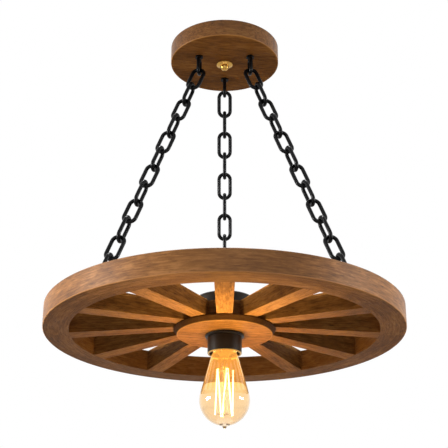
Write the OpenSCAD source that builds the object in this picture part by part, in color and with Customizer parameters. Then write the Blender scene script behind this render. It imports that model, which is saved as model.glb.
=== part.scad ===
// Wagon wheel chandelier: a spoked timber wheel that hangs level from a round
// timber canopy on three chains, with one bare lamp under its hub.
// Millimetres, +Z up. The origin is on the ceiling plane, at the canopy's axis.

/* [Wheel] */
// Outside diameter of the rim
wheel_d = 470; // [380:5:640]
// Width of the rim, from its outside to its inside
rim_w = 33.5; // [26:0.5:44]
// Height of the rim
rim_h = 29; // [27:0.5:40]
// Chamfer on the rim's outer edges
rim_chamfer = 0.8; // [0.3:0.1:2]
// Number of spokes, a multiple of three because three of them carry the chains
spoke_count = 12; // [9:3:15]
// Width of a spoke where it enters the rim
spoke_w_rim = 24.5; // [16:0.5:28]
// Width of a spoke where it enters the hub
spoke_w_hub = 20; // [14:0.5:22]
// Width of a spoke's tenons
tenon_w = 11; // [8:0.5:12]
// Height of a spoke's tenons
tenon_h = 12; // [8:0.5:14]
// Length of the tenon in the hub
tenon_hub_l = 9; // [6:0.5:12]
// Length of the tenon in the rim
tenon_rim_l = 12; // [8:0.5:15]
// Clearance on each side of a tenon in its mortise, and at the spokes' shoulders
tenon_gap = 0.1; // [0.05:0.05:0.3]

/* [Hub] */
// Diameter of the drum that the spokes enter
drum_d = 116; // [108:1:130]
// Diameter of the lower disc, at its widest
disc_d = 133; // [131:1:150]
// Thickness of the lower disc
disc_h = 8; // [6:0.5:10]
// How far the lower disc's side leans in towards its face
disc_lean = 4.4; // [1:0.2:6]
// Height of the leaning part of the lower disc's side
disc_lean_h = 6.5; // [3:0.5:6.5]
// Diameter of the steel cap on top of the drum
cap_d = 82; // [60:1:100]
// Height of the steel cap
cap_h = 20; // [15:0.5:26]
// Radius of the cap's rounded top edge
cap_round = 5; // [3:0.5:8]
// Sheet thickness of the cap
cap_wall = 1.2; // [0.8:0.1:2]
// Outside diameter of the threaded tube through the hub
tube_d = 10; // [8:0.5:11]
// Bore of the threaded tube
tube_bore_d = 7; // [5:0.5:7.5]
// Width across the flats of the tube's nuts
tube_nut_w = 15; // [13:0.5:18]
// Thickness of the tube's nuts
tube_nut_h = 4.5; // [3:0.5:5]
// Bore of the cord bushing on the tube's upper end
bushing_bore_d = 6; // [4:0.5:6.5]
// Outside diameter of the cord bushing
bushing_d = 12; // [11.5:0.5:14]
// Height of the cord bushing above the tube's end
bushing_h = 3; // [2:0.5:5]

/* [Canopy] */
// Diameter of the canopy
canopy_d = 155; // [140:1:200]
// Height of the canopy
canopy_h = 25; // [22:0.5:34]
// Thickness of the canopy's floor
canopy_floor = 8; // [5:0.5:10]
// Thickness of the canopy's side wall
canopy_wall = 8; // [5:0.5:12]
// Radius of the canopy's lower edge
canopy_round = 1; // [0.4:0.1:2.5]
// Length of the steel strap that holds the canopy to the ceiling box
strap_l = 112; // [104:1:118]
// Width of the strap
strap_w = 22; // [18:0.5:24]
// Thickness of the strap
strap_t = 2; // [1.2:0.1:3]
// Distance between the middles of the strap's two slots
slot_spacing = 79.4; // [70:0.1:84]
// Length of a slot, end to end
slot_l = 14.5; // [10:0.5:18]
// Width of a slot
slot_w = 5; // [4.2:0.1:6]
// Diameter of the centre stud
stud_d = 6; // [5:0.5:8]
// How far the stud stands out under the canopy
stud_out = 6; // [5:0.5:7]
// Diameter of the brass cap nut's flange
finial_d = 23; // [19:0.5:28]
// Height of the brass cap nut
finial_h = 10; // [9:0.5:13]
// Thickness of the cap nut's flange at its edge
finial_edge_h = 1; // [0.8:0.1:1.6]
// Height of the cap nut's domed flange, edge included
finial_flange_h = 3.8; // [3:0.2:5]
// Diameter of the ball that ends the cap nut
finial_ball_d = 12; // [11:0.5:14]

/* [Chains] */
// Number of links in a chain, even so that both ends meet their eyes square on
link_count = 12; // [8:2:18]
// Diameter of the links' wire
wire_d = 5.2; // [4.2:0.1:5.4]
// Outside width of a link
link_w = 21.5; // [20.5:0.5:26]
// Outside length of a link
link_l = 40.9; // [36:0.1:50]
// Gap between two links where they bear on each other
link_gap = 0.3; // [0.2:0.05:0.5]
// Diameter of the eyes' wire, on the canopy and on the wheel
eye_wire_d = 5; // [4:0.1:5]
// Outside width of an eye
eye_w = 17.6; // [17:0.1:21]
// Distance from the canopy's axis to its three eyes
eye_r_canopy = 42; // [34:1:52]
// Distance from the wheel's axis to its three eyes
eye_r_wheel = 178; // [130:1:184]
// Drop of a canopy eye, from the canopy's face to the middle of its lowest wire
eye_drop = 27.5; // [22:0.5:34]
// Rise of a wheel eye, from the spoke to the middle of its highest wire
eye_rise = 22; // [20:0.5:30]
// Gap between a chain's last link and its wheel eye, which the swing needs
eye_gap = 0.8; // [0.5:0.05:0.9]
// Diameter of an eye's collar
collar_d = 11; // [9:0.5:14]
// Thickness of an eye's collar
collar_h = 2; // [1:0.5:3]
// Depth of a wheel eye's shank in its spoke
shank_l = 16; // [10:0.5:17]

/* [Lampholder] */
// Outside diameter of the black cup
cup_d = 44.4; // [43:0.2:50]
// Depth of the black cup below the hub
cup_h = 24.5; // [23:0.5:30]
// Sheet thickness of the cup
cup_wall = 1.4; // [1:0.1:2]
// Diameter of the cup's upper lip
lip_d = 51; // [48:0.5:58]
// Height of the cup's upper lip
lip_h = 3.2; // [2:0.2:4]
// Height of the brass ring on the cup's mouth
ring_h = 0.9; // [0.6:0.1:1.4]
// Width of the brass ring's face
ring_w = 2.2; // [1.6:0.1:2.6]
// Diameter of the holder's body inside the cup
holder_d = 38; // [37:0.2:39.8]
// Diameter of the holder's body inside the hub
holder_neck_d = 34; // [32:0.2:35]

/* [Lamp] */
// Diameter of the lamp's screw base
base_d = 26; // [25.6:0.1:26.4]
// Diameter of the glass at its widest
glass_d = 64.8; // [58:0.2:80]
// Distance from the hub's face down to the lamp's lowest point
lamp_drop = 122.6; // [112:0.2:150]
// Diameter of the glass where it widens out of its neck
neck_d = 35; // [31:0.5:36]
// Diameter of the glass neck's upper end, on the screw base
neck_top_d = 28; // [27:0.5:29]
// Thickness of the glass
glass_wall = 0.8; // [0.6:0.1:1.2]
// Height of the sealed tip under the glass
pip_h = 4; // [2:0.2:5]
// Diameter of the sealed tip where it leaves the glass
pip_d = 14; // [10:0.5:16]
// Diameter of the sealed tip's rounded end
pip_end_d = 5; // [3:0.5:7]
// Number of long filament strands
strand_count = 10; // [6:2:12]
// Diameter of the filament wire
strand_d = 1.4; // [0.8:0.1:1.6]
// Height of the filament cage
cage_h = 56; // [40:1:62]
// Diameter of the filament cage at its upper end
cage_top_d = 22; // [12:1:24]
// Diameter of the filament cage at its lower end
cage_low_d = 24; // [14:1:26]

/* [Hidden] */
$fn = 96;
WIRE_FN = 32;
TIMBER = [0.56, 0.36, 0.20];
TIMBER_LIGHT = [0.66, 0.42, 0.23];
BLACK = [0.10, 0.10, 0.10];
STEEL = [0.70, 0.71, 0.73];
ZINC = [0.62, 0.63, 0.62];
BRASS = [0.80, 0.60, 0.25];
GREEN = [0.15, 0.45, 0.25];
PORCELAIN = [0.88, 0.87, 0.83];
GLASS = [0.95, 0.78, 0.45, 0.5];
GLOW = [1.0, 0.80, 0.45];

// Running gap of a part that turns on another, and of a face that turns on a face
turn_gap = 0.05;
face_gap = 0.1;

// Far, left and right hanging points: azimuth about the axis, and the azimuth that
// each canopy eye faces along. All three stand nearly along Y, which the swing needs.
HANG_NAMES = ["far", "left", "right"];
HANG_AZIMUTH = [90, 210, 330];
EYE_AZIMUTH = [90, 80, 100];
HANGS = [0, 1, 2];

// Wheel
wheel_r = wheel_d / 2;
rim_inner_r = wheel_r - rim_w;
drum_r = drum_d / 2;
disc_r = disc_d / 2;
spoke_step = 360 / spoke_count;
spoke_top = rim_h;
spoke_low_hub = disc_h;
tenon_hub_z = (disc_h + rim_h) / 2;
tenon_rim_z = rim_h / 2;

// Eyes: the middle line of the wire is two half circles and two straights
eye_bend_r = (eye_w - eye_wire_d) / 2;
eye_wire_r = eye_wire_d / 2;
wire_r = wire_d / 2;

// Chain: a link's half length on its wire's middle line, and the step to the next
link_half = (link_l - wire_d) / 2;
link_pitch = 2 * link_half - wire_d - link_gap;
// Distance along a chain from the wire of its canopy eye to that of its wheel eye
seat_top = eye_wire_r + wire_r + link_gap;
seat_low = eye_wire_r + wire_r + eye_gap;
chain_l = 2 * link_half + (link_count - 1) * link_pitch - seat_top - seat_low;
// The far chain points to the middle of its canopy eye's bend and to the wire of its
// wheel eye, so the line between those two points is one bend radius longer
line_l = chain_l + eye_bend_r;
chain_spread = eye_r_wheel - eye_r_canopy;
line_drop = sqrt(line_l * line_l - chain_spread * chain_spread);

// Heights
canopy_face_z = -canopy_h;
eye_low_z = canopy_face_z - eye_drop;
wheel_eye_z = eye_low_z - (line_drop - eye_bend_r);
wheel_top_z = wheel_eye_z - eye_rise;
wheel_z = wheel_top_z - rim_h;

// A chain pulls its canopy eye at the point of the bend that lies furthest along the
// chain, and its wheel eye likewise. Both points follow from the chain's direction
// and the direction from both points, so it is worked out in a few rounds.
function unit(v) = v / norm(v);
function facing(azimuth) = [cos(azimuth), sin(azimuth), 0];
function in_plane(v, across) = unit(v - across * (v * across));
function bend_middle(k, radius, z) =
    [radius * cos(HANG_AZIMUTH[k]), radius * sin(HANG_AZIMUTH[k]), z];
function canopy_bend(k) = bend_middle(k, eye_r_canopy, eye_low_z + eye_bend_r);
function wheel_bend(k) = bend_middle(k, eye_r_wheel, wheel_eye_z - eye_bend_r);
// Across the plane of canopy eye k, and along its wire where a chain along d bears
function eye_across(k) = cross(facing(EYE_AZIMUTH[k]), [0, 0, 1]);
function wire_along(k, d) = cross(eye_across(k), in_plane(d, eye_across(k)));
// A wheel eye faces so that its wire runs along the last link's width, square to the
// first link's because the links are even
function wheel_eye_facing(k, d) =
    let (w = cross(d, wire_along(k, d)))
    unit([w[0], w[1], 0]);
function canopy_seat(k, d) = canopy_bend(k) + eye_bend_r * in_plane(d, eye_across(k));
function wheel_seat(k, d) =
    let (across = cross(wheel_eye_facing(k, d), [0, 0, 1]))
    wheel_bend(k) + eye_bend_r * in_plane(-d, across);
function chain_along(k, rounds, d) =
    rounds == 0 ? d : chain_along(k, rounds - 1, unit(wheel_seat(k, d) - canopy_seat(k, d)));
CHAIN_ROUNDS = 6;
CHAIN_DIRECTION =
    [for (k = HANGS) chain_along(k, CHAIN_ROUNDS, unit(wheel_bend(k) - canopy_bend(k)))];

// Canopy
canopy_r = canopy_d / 2;
recess_r = canopy_r - canopy_wall;
recess_z = canopy_face_z + canopy_floor;
stud_r = stud_d / 2;
stud_hole_gap = 0.3;
washer_d = 13;
washer_h = 1;
nut_w = 9;
nut_h = 4;
shank_over = 1.5;
stud_nut_w = 10;
stud_nut_h = 5;
screw_x = 22;
screw_d = 4;
screw_head_d = 7.6;
screw_head_h = 2.4;

// Hub, measured up from the wheel's underside
holder_top = 14;
holder_low = -19;
socket_top = 7;
drum_cavity_top = 20;
cavity_gap = 1.5;
disc_hole_gap = 0.2;
tube_low = 9;
tube_over = 5;
cap_top = rim_h + cap_h;
tube_top = cap_top + tube_over;
cavity_r = holder_neck_d / 2 + cavity_gap;

// Lampholder and lamp, measured from the wheel's underside
base_r = base_d / 2;
shell_wall = 0.5;
shell_r = base_r + turn_gap;
shell_top = 5;
contact_r = 4;
contact_h = 0.8;
plate_h = 1.4;
base_low = -21;
base_top = 1;
insulator_top = 4.4;
insulator_low_r = 10.5;
insulator_top_r = 5.2;
tip_r = 4.2;
tip_top = socket_top - contact_h - face_gap;
glass_r = glass_d / 2;
neck_r = neck_d / 2;
neck_top = base_low - face_gap;
neck_low = -29;
ball_z = -lamp_drop + pip_h + glass_r;
// Where the line from the neck touches the ball of the glass
taper_dist = norm([neck_r, neck_low - ball_z]);
taper_angle = atan2(neck_low - ball_z, neck_r) - acos(glass_r / taper_dist);
// The sealed tip is a cone on a ball, and the cone runs on a little into the glass
pip_r = pip_d / 2;
pip_end_r = pip_end_d / 2;
pip_top = ball_z - sqrt(glass_r * glass_r - pip_r * pip_r);
pip_end_z = -lamp_drop + pip_end_r;
pip_cone_h = pip_top - pip_end_z;
pip_spread = (pip_r - pip_end_r) / pip_cone_h;
pip_into = glass_wall / 2;
stem_d = 9;
stem_foot_d = 5;
stem_foot_h = 3;
stem_low = -46;
cage_top = stem_low - 2;
cage_low = cage_top - cage_h;
turn_d = strand_d + 0.4;
turn_l = 3.4;
turn_half = 1;
rod_d = 2;
rod_over = 2;
arm_d = 0.7;

SPOKES = [1:spoke_count];
function two_digits(n) = n < 10 ? str("0", n) : str(n);
function spoke_name(n) = str("spoke_", two_digits(n));
function hang_name(before, k) = str(before, HANG_NAMES[k]);
// Spoke 1 points along +Y to the far chain, and the rest follow anticlockwise
function spoke_azimuth(n) = HANG_AZIMUTH[0] + (n - 1) * spoke_step;
function carries_eye(n) = (n - 1) % (spoke_count / 3) == 0;

// ---- Shared shapes ----

// A round wire bent to a loop in the XZ plane, centred on its middle, with the
// outside length along Z and the outside width along X
module wire_loop(wire, width, length) {
    bend = (width - wire) / 2;
    half_straight = (length - width) / 2;
    for (end = [0, 1])
        mirror([0, 0, end])
            translate([0, 0, half_straight])
                rotate([90, 0, 0])
                    rotate_extrude(angle = 180)
                        translate([bend, 0])
                            circle(d = wire, $fn = WIRE_FN);
    for (side = [-1, 1])
        translate([side * bend, 0, 0])
            cylinder(d = wire, h = 2 * half_straight, center = true, $fn = WIRE_FN);
}

// A six-sided nut with its lower face at z = 0
module hex_nut(width, height, bore) {
    difference() {
        cylinder(d = width / cos(30), h = height, $fn = 6);
        translate([0, 0, -1])
            cylinder(d = bore, h = height + 2);
    }
}

// The frame of hanging point k: its azimuth turned onto +X
module at_hang(k, radius, z) {
    rotate([0, 0, HANG_AZIMUTH[k]])
        translate([radius, 0, z])
            children();
}

// Heights measured up from the wheel's underside
module at_wheel() {
    translate([0, 0, wheel_z])
        children();
}

// ---- Canopy and ceiling fixing ----

// Stadium of the given end-to-end length and width, for a slot along X
module slot_outline(length, width) {
    square([length - width, width], center = true);
    for (side = [-1, 1])
        translate([side * (length - width) / 2, 0])
            circle(d = width);
}

module ceiling_strap() {
    color(ZINC)
        translate([0, 0, -strap_t])
            linear_extrude(strap_t)
                difference() {
                    slot_outline(strap_l, strap_w);
                    for (side = [-1, 1])
                        translate([side * slot_spacing / 2, 0])
                            slot_outline(slot_l, slot_w);
                    circle(d = stud_d);
                    translate([screw_x, 0])
                        circle(d = screw_d);
                }
}

module centre_stud() {
    color(ZINC)
        translate([0, 0, canopy_face_z - stud_out])
            cylinder(d = stud_d, h = canopy_h + stud_out);
}

module stud_nut() {
    color(ZINC)
        translate([0, 0, -strap_t - stud_nut_h])
            hex_nut(stud_nut_w, stud_nut_h, stud_d);
}

module ground_screw() {
    color(GREEN)
        translate([screw_x, 0, -strap_t]) {
            cylinder(d = screw_d, h = strap_t);
            translate([0, 0, -screw_head_h])
                difference() {
                    cylinder(d1 = screw_head_d - 1, d2 = screw_head_d, h = screw_head_h);
                    translate([0, 0, 0.5])
                        cube([screw_head_d + 1, 1, 2], center = true);
                }
        }
}

module canopy_outline() {
    translate([0, canopy_face_z + canopy_round])
        square([canopy_r, canopy_h - canopy_round]);
    translate([0, canopy_face_z])
        square([canopy_r - canopy_round, canopy_round]);
    translate([canopy_r - canopy_round, canopy_face_z + canopy_round])
        circle(r = canopy_round, $fn = WIRE_FN);
}

module canopy() {
    color(TIMBER)
        difference() {
            rotate_extrude()
                intersection() {
                    canopy_outline();
                    translate([0, canopy_face_z])
                        square([canopy_r, canopy_h]);
                }
            translate([0, 0, recess_z])
                cylinder(r = recess_r, h = canopy_h);
            translate([0, 0, canopy_face_z - 1])
                cylinder(r = stud_r + stud_hole_gap, h = canopy_h);
            for (k = HANGS)
                at_hang(k, eye_r_canopy, canopy_face_z - 1)
                    cylinder(d = eye_wire_d, h = canopy_h, $fn = WIRE_FN);
        }
}

// Brass cap nut: a domed flange, a ball end and a blind bore for the stud
module cap_nut() {
    flange_r = finial_d / 2;
    dome_h = finial_flange_h - finial_edge_h;
    dome_r = (flange_r * flange_r + dome_h * dome_h) / (2 * dome_h);
    ball_r = finial_ball_d / 2;
    color(BRASS)
        translate([0, 0, canopy_face_z - face_gap])
            difference() {
                union() {
                    translate([0, 0, -finial_edge_h])
                        cylinder(r = flange_r, h = finial_edge_h);
                    intersection() {
                        translate([0, 0, dome_r - finial_flange_h])
                            sphere(r = dome_r);
                        translate([0, 0, -finial_flange_h - 1])
                            cylinder(r = flange_r, h = finial_flange_h - finial_edge_h + 1);
                    }
                    intersection() {
                        translate([0, 0, ball_r - finial_h])
                            sphere(r = ball_r);
                        translate([0, 0, -finial_h - 1])
                            cylinder(r = flange_r, h = ball_r + 1);
                    }
                    translate([0, 0, ball_r - finial_h])
                        cylinder(r = ball_r, h = finial_h - ball_r);
                }
                translate([0, 0, -stud_out - 0.6])
                    cylinder(r = stud_r + turn_gap, h = stud_out + 1.6);
            }
}

module eye_washers() {
    color(ZINC)
        for (k = HANGS)
            at_hang(k, eye_r_canopy, recess_z)
                difference() {
                    cylinder(d = washer_d, h = washer_h);
                    translate([0, 0, -1])
                        cylinder(d = eye_wire_d, h = washer_h + 2, $fn = WIRE_FN);
                }
}

module eye_nuts() {
    color(ZINC)
        for (k = HANGS)
            at_hang(k, eye_r_canopy, recess_z + washer_h)
                hex_nut(nut_w, nut_h, eye_wire_d);
}

// ---- Eyes and chains ----

// An eye with its collar's face at z = 0, its loop below and its shank above.
// The middle of the loop's lowest wire is at z = -drop.
module eye(drop, shank) {
    length = drop + eye_wire_r;
    translate([0, 0, -length / 2])
        wire_loop(eye_wire_d, eye_w, length);
    translate([0, 0, -collar_h])
        cylinder(d = collar_d, h = collar_h);
    translate([0, 0, -collar_h])
        cylinder(d = eye_wire_d, h = collar_h + shank, $fn = WIRE_FN);
}

module canopy_eye(k) {
    shank = canopy_floor + washer_h + nut_h + shank_over;
    color(BLACK)
        at_hang(k, eye_r_canopy, canopy_face_z)
            rotate([0, 0, EYE_AZIMUTH[k] - HANG_AZIMUTH[k]])
                eye(eye_drop, shank);
}

module wheel_eye(k) {
    face = wheel_eye_facing(k, CHAIN_DIRECTION[k]);
    color(BLACK)
        at_hang(k, eye_r_wheel, wheel_top_z)
            rotate([0, 0, atan2(face[1], face[0]) - HANG_AZIMUTH[k]])
                mirror([0, 0, 1])
                    eye(eye_rise, shank_l);
}

// The links stand along their chain's line, each a quarter turn from the last. The
// chain's own frame has Z up the line and Y along the canopy eye's wire.
module chain(k) {
    up = -CHAIN_DIRECTION[k];
    y = wire_along(k, CHAIN_DIRECTION[k]);
    x = cross(y, up);
    first = link_half - seat_top;
    color(BLACK)
        translate(canopy_seat(k, CHAIN_DIRECTION[k]))
            rotate([atan2(y[2], up[2]), -asin(x[2]), atan2(x[1], x[0])])
                for (n = [0:link_count - 1])
                    translate([0, 0, -first - n * link_pitch])
                        rotate([0, 0, 90 * n])
                            wire_loop(wire_d, link_w, link_l);
}

// ---- Wheel ----

// A tenon, or with a gap the mortise that takes it, along +X from radius r1 to r2
module tenon(r1, r2, z, gap) {
    translate([r1 - gap, -tenon_w / 2 - gap, z - tenon_h / 2 - gap])
        cube([r2 - r1 + 2 * gap, tenon_w + 2 * gap, tenon_h + 2 * gap]);
}

module rim_outline() {
    c = rim_chamfer;
    polygon([
        [rim_inner_r, 0],
        [wheel_r - c, 0],
        [wheel_r, c],
        [wheel_r, rim_h - c],
        [wheel_r - c, rim_h],
        [rim_inner_r, rim_h]
    ]);
}

module rim() {
    color(TIMBER)
        at_wheel()
            difference() {
                rotate_extrude($fn = 180)
                    rim_outline();
                for (n = SPOKES)
                    rotate([0, 0, spoke_azimuth(n)])
                        tenon(rim_inner_r - 1, rim_inner_r + tenon_rim_l, tenon_rim_z, tenon_gap);
            }
}

// Seen from above a spoke widens towards the rim. Seen from the side its top is
// level, and its underside falls from the hub's disc to the rim's underside.
module spoke_plan() {
    polygon([
        [drum_r - 1, -spoke_w_hub / 2],
        [wheel_r, -spoke_w_rim / 2],
        [wheel_r, spoke_w_rim / 2],
        [drum_r - 1, spoke_w_hub / 2]
    ]);
}

module spoke_side() {
    polygon([
        [0, spoke_low_hub],
        [disc_r, spoke_low_hub],
        [rim_inner_r, 0],
        [wheel_r, 0],
        [wheel_r, spoke_top],
        [0, spoke_top]
    ]);
}

module spoke(n) {
    color(TIMBER)
        at_wheel()
            rotate([0, 0, spoke_azimuth(n)])
                difference() {
                    union() {
                        difference() {
                            intersection() {
                                linear_extrude(spoke_top)
                                    spoke_plan();
                                translate([0, spoke_w_rim, 0])
                                    rotate([90, 0, 0])
                                        linear_extrude(2 * spoke_w_rim)
                                            spoke_side();
                                cylinder(r = rim_inner_r - tenon_gap, h = spoke_top);
                            }
                            translate([0, 0, -1])
                                cylinder(r = drum_r + tenon_gap, h = spoke_top + 2);
                        }
                        tenon(drum_r - tenon_hub_l, drum_r + 2, tenon_hub_z, 0);
                        tenon(rim_inner_r - 2, rim_inner_r + tenon_rim_l, tenon_rim_z, 0);
                    }
                    if (carries_eye(n))
                        translate([eye_r_wheel, 0, spoke_top - shank_l])
                            cylinder(d = eye_wire_d, h = shank_l + 1, $fn = WIRE_FN);
                }
}

// ---- Hub ----

module hub_drum() {
    color(TIMBER)
        at_wheel()
            difference() {
                translate([0, 0, disc_h])
                    cylinder(r = drum_r, h = rim_h - disc_h);
                translate([0, 0, disc_h - 1])
                    cylinder(r = cavity_r, h = drum_cavity_top - disc_h + 1);
                cylinder(d = tube_d, h = rim_h + 1);
                for (n = SPOKES)
                    rotate([0, 0, spoke_azimuth(n)])
                        tenon(drum_r - tenon_hub_l, drum_r + 1, tenon_hub_z, tenon_gap);
            }
}

module hub_disc() {
    hole_r = holder_neck_d / 2 + disc_hole_gap;
    color(TIMBER_LIGHT)
        at_wheel()
            rotate_extrude()
                polygon([
                    [hole_r, 0],
                    [disc_r - disc_lean, 0],
                    [disc_r, disc_lean_h],
                    [disc_r, disc_h],
                    [hole_r, disc_h]
                ]);
}

// Outline of a cup of revolution that stands on z = 0 with a rounded top edge
module cap_outline(radius, height, rounding) {
    square([radius, height - rounding]);
    square([radius - rounding, height]);
    translate([radius - rounding, height - rounding])
        circle(r = rounding);
}

module hub_cap() {
    color(BLACK)
        at_wheel()
            translate([0, 0, rim_h])
                difference() {
                    rotate_extrude()
                        cap_outline(cap_d / 2, cap_h, cap_round);
                    translate([0, 0, -0.001])
                        rotate_extrude()
                            cap_outline(cap_d / 2 - cap_wall, cap_h - cap_wall, cap_round - cap_wall);
                    cylinder(d = tube_d, h = cap_h + 1);
                }
}

module hub_tube() {
    color(ZINC)
        at_wheel()
            translate([0, 0, tube_low])
                difference() {
                    cylinder(d = tube_d, h = tube_top - tube_low);
                    translate([0, 0, -1])
                        cylinder(d = tube_bore_d, h = tube_top - tube_low + 2);
                }
}

module tube_nuts() {
    color(BRASS)
        at_wheel()
            for (z = [drum_cavity_top - tube_nut_h, cap_top])
                translate([0, 0, z])
                    hex_nut(tube_nut_w, tube_nut_h, tube_d);
}

module cord_bushing() {
    skirt = 2;
    color(BLACK)
        at_wheel()
            translate([0, 0, tube_top - skirt])
                difference() {
                    union() {
                        translate([0, 0, skirt])
                            cylinder(d1 = bushing_d, d2 = bushing_d - 2, h = bushing_h);
                        cylinder(d = tube_bore_d, h = skirt);
                    }
                    translate([0, 0, -1])
                        cylinder(d = bushing_bore_d, h = bushing_h + skirt + 2);
                }
}

// ---- Lampholder ----

module lampholder_cup() {
    lip_r = lip_d / 2;
    edge = lip_h / 2;
    cup_r = cup_d / 2;
    hole_r = holder_neck_d / 2 + disc_hole_gap;
    color(BLACK)
        at_wheel()
            difference() {
                rotate_extrude() {
                    translate([0, -cup_h])
                        square([cup_r, cup_h]);
                    translate([0, -lip_h])
                        square([lip_r - edge, lip_h]);
                    translate([lip_r - edge, -edge])
                        circle(r = edge, $fn = WIRE_FN);
                }
                translate([0, 0, -cup_h - 1])
                    cylinder(r = cup_r - cup_wall, h = cup_h + 1 - plate_h);
                translate([0, 0, -plate_h - 1])
                    cylinder(r = hole_r, h = plate_h + 2);
            }
}

module cup_ring() {
    color(BRASS)
        at_wheel()
            translate([0, 0, -cup_h - ring_h])
                difference() {
                    cylinder(d1 = cup_d - ring_h, d2 = cup_d, h = ring_h);
                    translate([0, 0, -1])
                        cylinder(r = cup_d / 2 - ring_w, h = ring_h + 2);
                }
}

module lampholder_body() {
    color(PORCELAIN)
        at_wheel()
            difference() {
                union() {
                    translate([0, 0, holder_low])
                        cylinder(d = holder_d, h = -plate_h - holder_low);
                    translate([0, 0, -plate_h])
                        cylinder(d = holder_neck_d, h = holder_top + plate_h);
                }
                translate([0, 0, holder_low - 1])
                    cylinder(r = shell_r + shell_wall, h = socket_top - holder_low + 1);
                translate([0, 0, tube_low])
                    cylinder(d = tube_d, h = holder_top);
                cylinder(d = tube_bore_d, h = holder_top);
            }
}

module screw_shell() {
    color(BRASS)
        at_wheel()
            translate([0, 0, holder_low])
                difference() {
                    cylinder(r = shell_r + shell_wall, h = shell_top - holder_low);
                    translate([0, 0, -1])
                        cylinder(r = shell_r, h = shell_top - holder_low + 2);
                }
}

module centre_contact() {
    tongue_l = 9;
    tongue_w = 5;
    color(BRASS)
        at_wheel()
            translate([0, 0, socket_top - contact_h]) {
                cylinder(r = contact_r, h = contact_h);
                translate([0, -tongue_w / 2, 0])
                    cube([tongue_l, tongue_w, contact_h]);
            }
}

// ---- Lamp ----

// Half outline of the glass: a ball that tapers up to a neck, drawn in by `inset`
// all round
module glass_outline(inset) {
    r = glass_r - inset;
    a = taper_angle;
    translate([0, ball_z])
        intersection() {
            circle(r = r);
            translate([0, -r])
                square([r, 2 * r]);
        }
    polygon([
        [0, ball_z],
        [r * cos(a), ball_z + r * sin(a)],
        [neck_r - inset * cos(a), neck_low - inset * sin(a)],
        [neck_r - inset, neck_low],
        [neck_top_d / 2 - inset, neck_top - inset],
        [0, neck_top - inset]
    ]);
}

module sealed_tip() {
    translate([0, 0, pip_end_z]) {
        sphere(r = pip_end_r);
        cylinder(r1 = pip_end_r, r2 = pip_r + pip_into * pip_spread, h = pip_cone_h + pip_into);
    }
}

module lamp_glass() {
    color(GLASS)
        at_wheel()
            difference() {
                union() {
                    rotate_extrude()
                        glass_outline(0);
                    sealed_tip();
                }
                rotate_extrude()
                    glass_outline(glass_wall);
            }
}

module lamp_base() {
    base_wall = 0.6;
    color(BRASS)
        at_wheel()
            translate([0, 0, base_low])
                difference() {
                    cylinder(r = base_r, h = base_top - base_low);
                    translate([0, 0, -1])
                        cylinder(r = base_r - base_wall, h = base_top - base_low - base_wall + 1);
                    cylinder(r = insulator_low_r - base_wall, h = base_top - base_low + 1);
                }
}

module lamp_insulator() {
    color(BLACK)
        at_wheel()
            translate([0, 0, base_top])
                cylinder(r1 = insulator_low_r, r2 = insulator_top_r, h = insulator_top - base_top);
}

module lamp_tip() {
    tip_h = tip_top - insulator_top;
    ball_r = (tip_r * tip_r + tip_h * tip_h) / (2 * tip_h);
    color(STEEL)
        at_wheel()
            translate([0, 0, insulator_top])
                intersection() {
                    translate([0, 0, tip_h - ball_r])
                        sphere(r = ball_r);
                    cylinder(r = tip_r, h = tip_h);
                }
}

// Glass stem: a flare under the neck's inner end, a tube and a tapered foot
module lamp_stem() {
    stem_top = neck_top - glass_wall;
    flare_r = base_r - 2;
    flare_h = 8;
    color(GLASS)
        at_wheel()
            rotate_extrude()
                polygon([
                    [0, stem_low],
                    [stem_foot_d / 2, stem_low],
                    [stem_d / 2, stem_low + stem_foot_h],
                    [stem_d / 2, stem_top - flare_h],
                    [flare_r, stem_top],
                    [0, stem_top]
                ]);
}

// A straight wire between two points
module wire_between(p, q, d) {
    v = q - p;
    flat = norm([v[0], v[1]]);
    translate(p)
        rotate([0, atan2(flat, v[2]), atan2(v[1], v[0])])
            cylinder(d = d, h = norm(v), $fn = WIRE_FN);
}

// The strands run down and up between two rings of turns, as one zigzag. Turn n
// is a short bar across its azimuth, and the strands leave it on either side.
function cage_azimuth(n) = n * 360 / strand_count;
function cage_r(n) = (n % 2 == 0 ? cage_top_d : cage_low_d) / 2;
function cage_z(n) = n % 2 == 0 ? cage_top : cage_low;
function cage_point(n, side) =
    let (a = cage_azimuth(n))
    let (across = side * turn_half)
    [cage_r(n) * cos(a) - across * sin(a), cage_r(n) * sin(a) + across * cos(a), cage_z(n)];

module filament() {
    color(GLOW)
        at_wheel() {
            for (n = [0:strand_count - 2])
                wire_between(cage_point(n, 1), cage_point(n + 1, -1), strand_d);
            for (n = [0:strand_count - 1])
                rotate([0, 0, cage_azimuth(n)])
                    translate([cage_r(n), 0, cage_z(n)])
                        rotate([90, 0, 0])
                            cylinder(d = turn_d, h = turn_l, center = true, $fn = WIRE_FN);
        }
}

// The rod down the middle of the cage, with an arm to each turn of the filament
module filament_rod() {
    reach_gap = 0.2;
    arm_from = 0.35 * rod_d;
    color(STEEL)
        at_wheel() {
            translate([0, 0, cage_low - rod_over])
                cylinder(d = rod_d, h = stem_low - cage_low + rod_over);
            for (n = [0:strand_count - 1]) {
                arm_l = cage_r(n) - turn_d / 2 - reach_gap - arm_from;
                rotate([0, 0, cage_azimuth(n)])
                    translate([arm_from, 0, cage_z(n)])
                        rotate([0, 90, 0])
                            cylinder(d = arm_d, h = arm_l, $fn = WIRE_FN);
            }
        }
}

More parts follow.
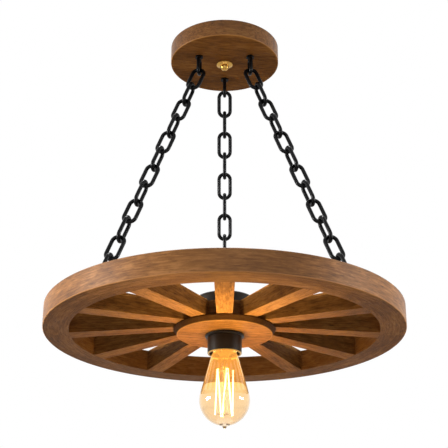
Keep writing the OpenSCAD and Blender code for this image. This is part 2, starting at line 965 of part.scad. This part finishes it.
ceiling_strap();
centre_stud();
stud_nut();
ground_screw();
canopy();
cap_nut();
eye_nuts();
eye_washers();
for (k = HANGS) {
    canopy_eye(k);
    chain(k);
    wheel_eye(k);
}
rim();
hub_drum();
hub_disc();
hub_cap();
for (n = SPOKES)
    spoke(n);
hub_tube();
tube_nuts();
cord_bushing();
lampholder_cup();
cup_ring();
lampholder_body();
screw_shell();
centre_contact();
lamp_glass();
lamp_base();
lamp_insulator();
lamp_tip();
lamp_stem();
filament();
filament_rod();
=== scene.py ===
"""Wagon wheel chandelier: a spoked timber wheel hung on three black chains from a
round timber canopy, with one lit amber lamp under its hub."""

import math

import bpy
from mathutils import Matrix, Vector


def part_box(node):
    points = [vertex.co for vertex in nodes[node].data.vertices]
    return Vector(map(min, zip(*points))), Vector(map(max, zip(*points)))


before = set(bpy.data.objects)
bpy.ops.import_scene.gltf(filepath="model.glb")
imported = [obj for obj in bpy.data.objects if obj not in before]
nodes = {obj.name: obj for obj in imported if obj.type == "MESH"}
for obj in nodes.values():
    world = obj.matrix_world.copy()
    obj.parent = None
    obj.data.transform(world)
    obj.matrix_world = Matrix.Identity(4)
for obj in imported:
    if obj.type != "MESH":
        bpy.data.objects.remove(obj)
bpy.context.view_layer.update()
MM = 0.001

# ---- The view ----
# The photographer stands below the light and a little over a metre away, and
# looks up at it. The wheel's underside fills the lower half of the picture.

WHEEL_UNDERSIDE_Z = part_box("rim")[0].z
EYE_FROM_AXIS = 1.3772
EYE_BELOW_WHEEL = 0.4299
LOOKING_UP = math.radians(23.10)
PICTURE_PIXELS = 448
FOCAL_PIXELS = 1102.0
SHIFT_PIXELS = -0.6
SENSOR_WIDTH = 36.0

camera_data = bpy.data.cameras.new("photograph")
camera_data.sensor_width = SENSOR_WIDTH
camera_data.lens = SENSOR_WIDTH * FOCAL_PIXELS / PICTURE_PIXELS
camera_data.shift_x = SHIFT_PIXELS / PICTURE_PIXELS
camera = bpy.data.objects.new("photograph", camera_data)
camera.location = (0, -EYE_FROM_AXIS, WHEEL_UNDERSIDE_Z - EYE_BELOW_WHEEL)
camera.rotation_euler = (math.pi / 2 + LOOKING_UP, 0, 0)
bpy.context.scene.collection.objects.link(camera)
bpy.context.scene.camera = camera

# ---- The studio ----
# A white room: the world shows white, and lights the object evenly and dimly. Five
# soft lamps model it from both sides, the front, below and above.

bpy.context.scene.view_settings.view_transform = "Standard"
WHITE = (1, 1, 1, 1)
BLACK = (0, 0, 0, 1)
ROOM_LIGHT = 0.21


class Signal:
    """One output of a shader tree. Sums of values add their Math nodes, and every
    other node comes from node()."""

    def __init__(self, tree, socket=None):
        self.tree = tree
        self.socket = socket

    def node(self, kind, links=(), out=0, stops=None, **settings):
        """Adds a node, applies its settings and a ramp's stops, then sets or links
        the named or numbered sockets, and returns one of its outputs."""
        made = self.tree.nodes.new(kind)
        for name, value in settings.items():
            setattr(made, name, value)
        if stops:
            ramp = made.color_ramp.elements
            while len(ramp) > len(stops):
                ramp.remove(ramp[-1])
            while len(ramp) < len(stops):
                ramp.new(1.0)
            for element, (place, colour) in zip(ramp, stops):
                element.position = place
                element.color = (*colour, 1.0)
        for name, value in dict(links).items():
            if isinstance(value, Signal):
                self.tree.links.new(value.socket, made.inputs[name])
            else:
                made.inputs[name].default_value = value
        return Signal(self.tree, made.outputs[out]) if made.outputs else None

    def maths(self, operation, *others):
        """A Math node on this value and the others, in that order."""
        return self.node("ShaderNodeMath", dict(enumerate((self, *others))), operation=operation)

    def __add__(self, other):
        return self.maths("ADD", other)

    __radd__ = __add__

    def __sub__(self, other):
        return self.maths("SUBTRACT", other)

    def __rsub__(self, other):
        return self.node("ShaderNodeMath", {0: other, 1: self}, operation="SUBTRACT")

    def __mul__(self, other):
        return self.maths("MULTIPLY", other)

    __rmul__ = __mul__

    def __pow__(self, other):
        return self.maths("POWER", other)

    def band(self, low, high):
        """0 below low, 1 above high, and smooth between."""
        links = {"Value": self, "From Min": low, "From Max": high}
        return self.node("ShaderNodeMapRange", links, interpolation_type="SMOOTHSTEP")

    def blend(self, first, second):
        """Colour first where this value is 0 and second where it is 1. On a Mix node,
        sockets 6 and 7 are the two colours, and output 2 is the mixed one."""
        links = {0: self, 6: first, 7: second}
        return self.node("ShaderNodeMix", links, out=2, data_type="RGBA")


def seen_directly(tree):
    """1 for camera, glossy and transmission rays, so that only the picture, metal
    and glass meet the white of the room."""
    kinds = ("Is Camera Ray", "Is Glossy Ray", "Is Transmission Ray")
    camera_ray, glossy_ray, glass_ray = (tree.node("ShaderNodeLightPath", out=kind) for kind in kinds)
    return camera_ray.maths("MAXIMUM", glossy_ray.maths("MAXIMUM", glass_ray))


world = bpy.data.worlds.new("white_room")
world.use_nodes = True
world.node_tree.nodes.clear()
air = Signal(world.node_tree)
strength = ROOM_LIGHT + seen_directly(air) * (1 - ROOM_LIGHT)
sky = air.node("ShaderNodeBackground", {"Color": WHITE, "Strength": strength})
air.node("ShaderNodeOutputWorld", {"Surface": sky})
bpy.context.scene.world = world


def put_lamp(light, place, aim):
    """Hangs a lamp at place and points it at aim. No lamp shows in the picture."""
    holder = bpy.data.objects.new(light.name, light)
    holder.location = place
    heading = Vector(aim) - Vector(place)
    holder.rotation_euler = heading.to_track_quat("-Z", "Y").to_euler()
    holder.visible_camera = False
    holder.visible_transmission = False
    bpy.context.scene.collection.objects.link(holder)
    return holder


MIDDLE = (0, 0, WHEEL_UNDERSIDE_Z)


def soft_lamp(name, place, wide, high, power, spread):
    """A panel of studio light that faces the middle of the wheel, wide and high in
    metres, with its power in watts and the spread of its light in degrees."""
    light = bpy.data.lights.new(name, "AREA")
    light.shape = "RECTANGLE"
    light.size = wide
    light.size_y = high
    light.energy = power
    light.spread = math.radians(spread)
    put_lamp(light, place, MIDDLE)


SIDE_LAMP_Z = WHEEL_UNDERSIDE_Z + 0.08
LOW_LAMP_Z = WHEEL_UNDERSIDE_Z - 0.55
TOP_LAMP_Z = WHEEL_UNDERSIDE_Z + 2.0
soft_lamp("left_softbox", (-1.9, -0.4, SIDE_LAMP_Z), wide=1.0, high=0.3, power=4.6, spread=34)
soft_lamp("right_softbox", (1.9, -0.35, SIDE_LAMP_Z), wide=1.0, high=0.3, power=2.5, spread=34)
soft_lamp("front_softbox", (0.2, -1.9, -0.2), wide=1.0, high=0.6, power=0.6, spread=100)
soft_lamp("low_softbox", (0, 0.25, LOW_LAMP_Z), wide=0.4, high=0.4, power=0.3, spread=120)
soft_lamp("top_softbox", (0, 0, TOP_LAMP_Z), wide=0.4, high=0.4, power=3.5, spread=50)

# ---- Floor ----
# Plain pale paper, a room's height under the ceiling. The lamps light it and give it
# its shadows, and light of its own makes it as pale as the room where it is seen.

FLOOR_Z = -2.4
FLOOR_HALF = 9.0
PAPER = (0.86, 0.86, 0.86, 1)
PAPER_SEEN = (0.62, 0.62, 0.62, 1)


def new_finish(name):
    """An empty material, as (material, its first Signal)."""
    material = bpy.data.materials.new(name)
    material.use_nodes = True
    material.node_tree.nodes.clear()
    return material, Signal(material.node_tree)


def surface(tree, links):
    """A Principled surface with the given sockets, wired to the output."""
    shader = tree.node("ShaderNodeBsdfPrincipled", links)
    tree.node("ShaderNodeOutputMaterial", {"Surface": shader})


floor_mesh = bpy.data.meshes.new("floor")
corners = [(-1, -1), (1, -1), (1, 1), (-1, 1)]
floor_points = [(FLOOR_HALF * x, FLOOR_HALF * y, FLOOR_Z) for x, y in corners]
floor_mesh.from_pydata(floor_points, [], [(0, 1, 2, 3)])
floor = bpy.data.objects.new("floor", floor_mesh)
bpy.context.scene.collection.objects.link(floor)
paper, tree = new_finish("studio_floor")
surface(tree, {"Base Color": PAPER, "Roughness": 0.9, "Specular IOR Level": 0.1,
               "Emission Color": seen_directly(tree).blend(BLACK, PAPER_SEEN),
               "Emission Strength": 1.0})
floor_mesh.materials.append(paper)

# ---- Timber ----
# Canopy, rim, spokes and hub are solid timber, sanded and stained a warm brown
# and rubbed with a soft wax. The stain sits darker in the fibres and pores.

STAIN = ((0.078, 0.027, 0.006), (0.205, 0.082, 0.020), (0.37, 0.168, 0.055))
WARM_STAIN = ((0.095, 0.033, 0.006), (0.26, 0.100, 0.021), (0.44, 0.190, 0.046))
# How dark the pores are, and the painted shade on the disc's side and the rim's inner wall.
PORE_STAIN_AND_PAINTED_SHADE = 0.40
# How much lighter the pale edges are: rubbed wear and a painted highlight.
EDGE_WEAR_AND_HIGHLIGHT_PALE = 1.5
GRAIN_DEPTH = 0.6 * MM
EDGE_BLUR = 0.3 * MM


def place_on(tree):
    """The place on the piece, in metres."""
    return tree.node("ShaderNodeTexCoord", out="Object")


def place_xyz(tree):
    """The same place as three values."""
    place = place_on(tree)
    return tuple(tree.node("ShaderNodeSeparateXYZ", {"Vector": place}, out=axis) for axis in "XYZ")


def length_of(x, y):
    """The root of the sum of the squares."""
    return (x * x + y * y) ** 0.5


def shade_of(colour, by=1.0):
    """A colour made darker or lighter, with its alpha."""
    return (*[min(1.0, by * c) for c in colour], 1)


def straight_grain(heading):
    """Grain of a straight board whose fibres run at heading, in radians from +X
    about +Z: the place along, across and through the board."""

    def grain(tree):
        turn = {"Vector": place_on(tree), "Rotation": (0, 0, -heading)}
        return (tree.node("ShaderNodeMapping", turn),)

    return grain


def bent_grain(radius):
    """Grain of a board bent round the Z axis: the angle times radius, the distance
    out, and the height. Two unrolled copies, whose seams lie opposite each other,
    come with the value that blends them so that neither seam shows."""
    apart = 7.0
    half_blend = 0.6 * radius

    def grain(tree):
        x, y, z = place_xyz(tree)
        out = length_of(x, y)
        angle = y.maths("ARCTAN2", x)
        opposite = (y * -1.0).maths("ARCTAN2", x * -1.0)
        first = tree.node("ShaderNodeCombineXYZ", {"X": angle * radius, "Y": out, "Z": z})
        second = tree.node("ShaderNodeCombineXYZ", {"X": opposite * radius + apart, "Y": out, "Z": z})
        return first, second, x.band(-half_blend, half_blend)

    return grain


def fibres(place, along, across, detail, shift):
    """Noise drawn out along the first axis, moved by shift so that it differs."""
    stretch = {"Vector": place, "Location": (shift, shift * 0.37, 0), "Scale": (along, across, across)}
    stretched = place.node("ShaderNodeMapping", stretch)
    links = {"Vector": stretched, "Scale": 1.0, "Detail": detail, "Roughness": 0.6}
    return place.node("ShaderNodeTexNoise", links)


def timber(name, tones, grain, shift, worn_highlit_edges=None, painted_shade=None, waxed=None):
    """Stained timber. tones are its dark, middle and light colours, and shift gives
    a board its own figure. Three masks may be given, each a function of the tree:
    edges painted pale as rubbed wear and a painted highlight, faces painted dark as shade, and waxed
    faces."""
    material, tree = new_finish(name)
    places = grain(tree)

    def drawn(along, across, detail, more=0.0):
        """The same fibres on one straight copy, or blended on two unrolled ones."""
        if len(places) == 1:
            return fibres(places[0], along, across, detail, shift + more)
        first, second, to_second = places
        return (fibres(first, along, across, detail, shift + more) * (1 - to_second)
                + fibres(second, along, across, detail, shift + more) * to_second)

    # Growth rings, uneven stain, short flecks, long fine fibres, pores and dashes.
    figure = drawn(8, 48, 5)
    cloud = drawn(16, 26, 3, 3.1)
    mottle = drawn(90, 210, 3, 6.4)
    fibre = drawn(45, 480, 3, 1.7)
    pores = drawn(130, 900, 2, 5.3).band(0.57, 0.68)
    dashes = drawn(80, 420, 3, 8.9).band(0.57, 0.70)
    tone = (figure * 0.50 + cloud * 0.14 + mottle * 0.22 + fibre * 0.54).band(0.42, 0.98)

    dark, middle, light = tones
    stops = [(0.0, dark), (0.5, middle), (1.0, light)]
    colour = tone.node("ShaderNodeValToRGB", {0: tone}, stops=stops)
    colour = (pores * 0.35 + dashes * 0.45).blend(colour, shade_of(dark, PORE_STAIN_AND_PAINTED_SHADE))
    # Painted shade: faces that lie in shade are darkened.
    if painted_shade:
        colour = (painted_shade(tree) * 0.84).blend(colour, shade_of(dark, PORE_STAIN_AND_PAINTED_SHADE))
    # Pale edges: rubbed wear and a painted highlight where light catches the edge.
    if worn_highlit_edges:
        colour = (worn_highlit_edges(tree) * 0.45).blend(colour, shade_of(light, EDGE_WEAR_AND_HIGHLIGHT_PALE))

    height = fibre * 0.6 + figure * 0.3 - pores * 0.8 - dashes * 0.5
    bump = {"Strength": 0.45, "Distance": GRAIN_DEPTH, "Height": height}
    surface(tree, {"Base Color": colour,
                   "Roughness": 0.42 + cloud * 0.2 - fibre * 0.08,
                   "Coat Weight": waxed(tree) * 0.45 if waxed else 0.0,
                   "Coat Roughness": 0.35,
                   "Specular IOR Level": 0.03,
                   "Normal": tree.node("ShaderNodeBump", bump)})
    return material


def box_radius(name):
    """Half the width of a round node."""
    low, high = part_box(name)
    return (high.x - low.x) / 2


def outer_side(name, lean):
    """Mask of a round node's outer side, which leans in by lean."""
    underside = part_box(name)[0].z
    inside = box_radius(name) - lean

    def mask(tree):
        x, y, z = place_xyz(tree)
        return length_of(x, y).band(inside - EDGE_BLUR, inside) * z.band(underside, underside + 0.4 * MM)

    return mask


def pale_edge_wear_and_highlight(name, width, lean=0.0):
    """Mask of a round node's lower outer edge, painted pale as thin-rubbed stain and as a painted
    highlight where light catches the edge.
    """
    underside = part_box(name)[0].z
    edge = box_radius(name) - lean

    def mask(tree):
        x, y, z = place_xyz(tree)
        up = z - underside
        near_edge = length_of(x, y).band(edge - width, edge - 0.2 * width)
        return near_edge * (1 - up.maths("ABSOLUTE").band(0.3 * width, width))

    return mask


def dress(node_names, material):
    """Puts a material on CAD nodes."""
    for name in node_names:
        for slot in nodes[name].material_slots:
            slot.material = material


# ---- Canopy ----
# A turned timber disc, hollow on top, that covers the ceiling box. Its lower
# edge is painted pale, as rubbed wear and a painted highlight, and its face shows the grain of one wide
# board.

dress(["canopy"], timber("canopy_timber", WARM_STAIN, straight_grain(0.15), shift=1.0,
                         worn_highlit_edges=pale_edge_wear_and_highlight("canopy", 2.2 * MM), waxed=outer_side("canopy", 0.5 * MM)))

# ---- Ceiling fixing ----
# The strap, stud, nuts and washers are bright zinc-plated steel, brushed and a
# little blotched. The ground screw is green, as the rule for such screws asks.


def metal(name, colour, rough, blotch=0.12, scale=180.0, metallic=1.0, bump=0.08):
    """Plain metal with a fine blotched gloss."""
    material, tree = new_finish(name)
    grain = tree.node("ShaderNodeTexNoise", {"Vector": place_on(tree), "Scale": scale, "Detail": 4.0})
    dents = {"Strength": bump, "Distance": 0.3 * MM, "Height": grain}
    surface(tree, {"Base Color": grain.blend(shade_of(colour, 0.8), shade_of(colour)),
                   "Metallic": metallic,
                   "Roughness": rough + grain * blotch,
                   "Normal": tree.node("ShaderNodeBump", dents)})
    return material


zinc = metal("zinc_plate", (0.66, 0.67, 0.68), rough=0.25)
dress(["ceiling_strap", "centre_stud", "stud_nut", "eye_nuts", "eye_washers", "hub_tube"], zinc)
dress(["ground_screw"], metal("green_screw", (0.05, 0.32, 0.12), rough=0.3, metallic=0.6))

# ---- Brass ----
# The canopy's cap nut, the ring on the lampholder's mouth and the tube's nuts
# are turned brass, lacquered, with a soft polish.

brass = metal("lacquered_brass", (0.66, 0.38, 0.09), rough=0.24, blotch=0.08, scale=120.0, bump=0.02)
dress(["cap_nut", "cup_ring", "tube_nuts"], brass)

# ---- Chains and eyes ----
# Links bent from round steel wire and eyes forged from the same, black powder
# coated: a satin black with a faint orange-peel that takes broad soft glints.


def black_coat(name, colour, rough):
    """A dark satin coat with a fine peel, and dust that dulls it in places."""
    material, tree = new_finish(name)
    place = place_on(tree)
    peel = tree.node("ShaderNodeTexNoise", {"Vector": place, "Scale": 420.0, "Detail": 3.0})
    dust = tree.node("ShaderNodeTexNoise", {"Vector": place, "Scale": 60.0, "Detail": 4.0})
    skin = {"Strength": 0.12, "Distance": 0.4 * MM, "Height": peel}
    surface(tree, {"Base Color": dust.blend(shade_of(colour, 0.7), shade_of(colour, 1.3)),
                   "Roughness": rough + dust * 0.12,
                   "Specular IOR Level": 0.12,
                   "Normal": tree.node("ShaderNodeBump", skin)})
    return material


hanging = ("canopy_eye_", "chain_", "wheel_eye_")
hangers = [kind + side for kind in hanging for side in ("far", "left", "right")]
dress(hangers, black_coat("chain_black", (0.004, 0.004, 0.0045), rough=0.24))

# ---- Rim ----
# A ring of bent and glued timber, whose fibres run round with it. Its lower outer
# edge is painted a little pale, as rubbed wear and a painted highlight, and its inner wall is painted
# dark as shade.

RIM_R = box_radius("rim")
RIM_INSIDE_R = 0.2015


def inner_wall_painted_shade(tree):
    """Mask of the rim's inner wall, painted darker as the shade it lies in."""
    x, y = place_xyz(tree)[:2]
    return (1 - length_of(x, y).band(RIM_INSIDE_R, RIM_INSIDE_R + 0.4 * MM)) * 0.55


dress(["rim"], timber("rim_timber", STAIN, bent_grain(RIM_R), shift=2.0,
                      worn_highlit_edges=pale_edge_wear_and_highlight("rim", 1.6 * MM), painted_shade=inner_wall_painted_shade,
                      waxed=outer_side("rim", 0.5 * MM)))

# ---- Spokes ----
# Tapered timber bars, tenoned into rim and hub, each cut with its fibres along
# its own length, so each has its own figure.

spoke_names = sorted(name for name in nodes if name.startswith("spoke_"))
for number, name in enumerate(spoke_names):
    heading = math.pi / 2 + number * 2 * math.pi / len(spoke_names)
    shift = 4.0 + 1.3 * number
    dress([name], timber("timber_" + name, WARM_STAIN, straight_grain(heading), shift))

# ---- Hub ----
# A turned drum between a wide lower disc and a pressed steel cap. The disc's face
# has a pale edge, painted as rubbed wear and a highlight, and its side is painted dark as shade.

DISC_LEAN = 4.4 * MM
drum_grain = bent_grain(box_radius("hub_drum"))
dress(["hub_drum"], timber("drum_timber", STAIN, drum_grain, shift=9.0))
dress(["hub_disc"], timber("disc_timber", WARM_STAIN, straight_grain(0.1), shift=12.0,
                           worn_highlit_edges=pale_edge_wear_and_highlight("hub_disc", 1.3 * MM, DISC_LEAN),
                           painted_shade=outer_side("hub_disc", DISC_LEAN)))
bronze_black = black_coat("bronze_black", (0.013, 0.008, 0.004), rough=0.26)
dress(["hub_cap", "lampholder_cup"], bronze_black)
dress(["cord_bushing"], black_coat("black_nylon", (0.02, 0.02, 0.02), rough=0.5))

# ---- Lampholder ----
# A glazed porcelain body inside the black cup, with a brass screw shell and a
# brass centre contact.


def porcelain(name, colour):
    """A hard smooth glaze, a little cloudy."""
    material, tree = new_finish(name)
    cloud = tree.node("ShaderNodeTexNoise", {"Vector": place_on(tree), "Scale": 90.0, "Detail": 3.0})
    surface(tree, {"Base Color": cloud.blend(shade_of(colour, 0.9), shade_of(colour)),
                   "Roughness": 0.25 + cloud * 0.1})
    return material


dress(["lampholder_body"], porcelain("porcelain", (0.80, 0.77, 0.70)))
contact_brass = metal("contact_brass", (0.78, 0.56, 0.26), rough=0.3)
dress(["screw_shell", "centre_contact"], contact_brass)

# ---- Lamp ----
# An amber glass envelope on a brass screw base, drawn out towards the neck, over a
# clear stem and a cage of glowing strands. The glass lets the lamp's own light out.

lamp_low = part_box("lamp_glass")[0]
AMBER = ((0.95, 0.79, 0.57, 1), (0.96, 0.70, 0.28, 1))
GLOW = ((0.12, 0.07, 0.03, 1), (1.0, 0.50, 0.14, 1))
CLEAR_GLASS = (1, 0.97, 0.92, 1)
AMBER_LIGHT = (1.0, 0.90, 0.70, 1)


def towards_neck(tree, low_and_neck):
    """The first colour at the envelope's low end and the second at its neck, where
    the amber coating lies thicker."""
    height = place_xyz(tree)[2]
    return height.band(lamp_low.z + 0.035, lamp_low.z + 0.080).blend(*low_and_neck)


def lit_glass(name, colours, through):
    """Thin smooth glass that lets the rays of lamps straight through, coloured by
    through. colours are the sockets that tint it or make it glow."""
    material, tree = new_finish(name)
    links = {"Roughness": 0.02, "IOR": 1.45, "Transmission Weight": 1.0, **colours(tree)}
    glass = tree.node("ShaderNodeBsdfPrincipled", links)
    clear = tree.node("ShaderNodeBsdfTransparent", {"Color": through})
    lamp_ray = tree.node("ShaderNodeLightPath", out="Is Shadow Ray")
    mixed = tree.node("ShaderNodeMixShader", {0: lamp_ray, 1: glass, 2: clear})
    tree.node("ShaderNodeOutputMaterial", {"Surface": mixed})
    return material


def amber_coating(tree):
    """The envelope's colour and the faint glow that its coating takes from within."""
    return {"Base Color": towards_neck(tree, AMBER), "Emission Color": towards_neck(tree, GLOW),
            "Emission Strength": 0.19}


dress(["lamp_glass"], lit_glass("amber_glass", amber_coating, AMBER_LIGHT))
dress(["lamp_stem"], lit_glass("clear_stem", lambda tree: {"Base Color": CLEAR_GLASS}, WHITE))
dress(["lamp_base"], contact_brass)
dress(["lamp_tip"], metal("solder", (0.6, 0.6, 0.6), rough=0.4))
dress(["filament_rod"], metal("support_wire", (0.5, 0.42, 0.34), rough=0.35))
dress(["lamp_insulator"], black_coat("black_glass", (0.02, 0.02, 0.025), rough=0.15))

strand, tree = new_finish("glowing_strand")
surface(tree, {"Base Color": (1.0, 0.75, 0.4, 1), "Roughness": 0.5,
               "Emission Color": (1.0, 0.86, 0.60, 1), "Emission Strength": 3.4})
dress(["filament"], strand)

# The filament's own light, and the part of it that the glass throws forward, up to
# the nearest spokes and the rim over them.

FILAMENT_COLOUR = (1.0, 0.84, 0.50)
FILAMENT_POWER = 1.05
SPILL_POWER = 0.29
SPILL_PLACE = (0, -0.085, WHEEL_UNDERSIDE_Z - 0.14)
SPILL_AIM = (0, -0.13, WHEEL_UNDERSIDE_Z)
strands_low, strands_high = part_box("filament")
STRANDS_MIDDLE = (0, 0, (strands_low.z + strands_high.z) / 2)


def filament_light(name, kind, power, place, aim):
    """Warm light from a small source that shows only by what it lights."""
    light = bpy.data.lights.new(name, kind)
    light.energy = power
    light.color = FILAMENT_COLOUR
    put_lamp(light, place, aim).visible_glossy = False
    return light


strands_light = filament_light("lamp_light", "POINT", FILAMENT_POWER, STRANDS_MIDDLE, MIDDLE)
strands_light.shadow_soft_size = 0.02
spill = filament_light("lamp_spill", "AREA", SPILL_POWER, SPILL_PLACE, SPILL_AIM)
spill.size = 0.06
spill.spread = math.radians(110)
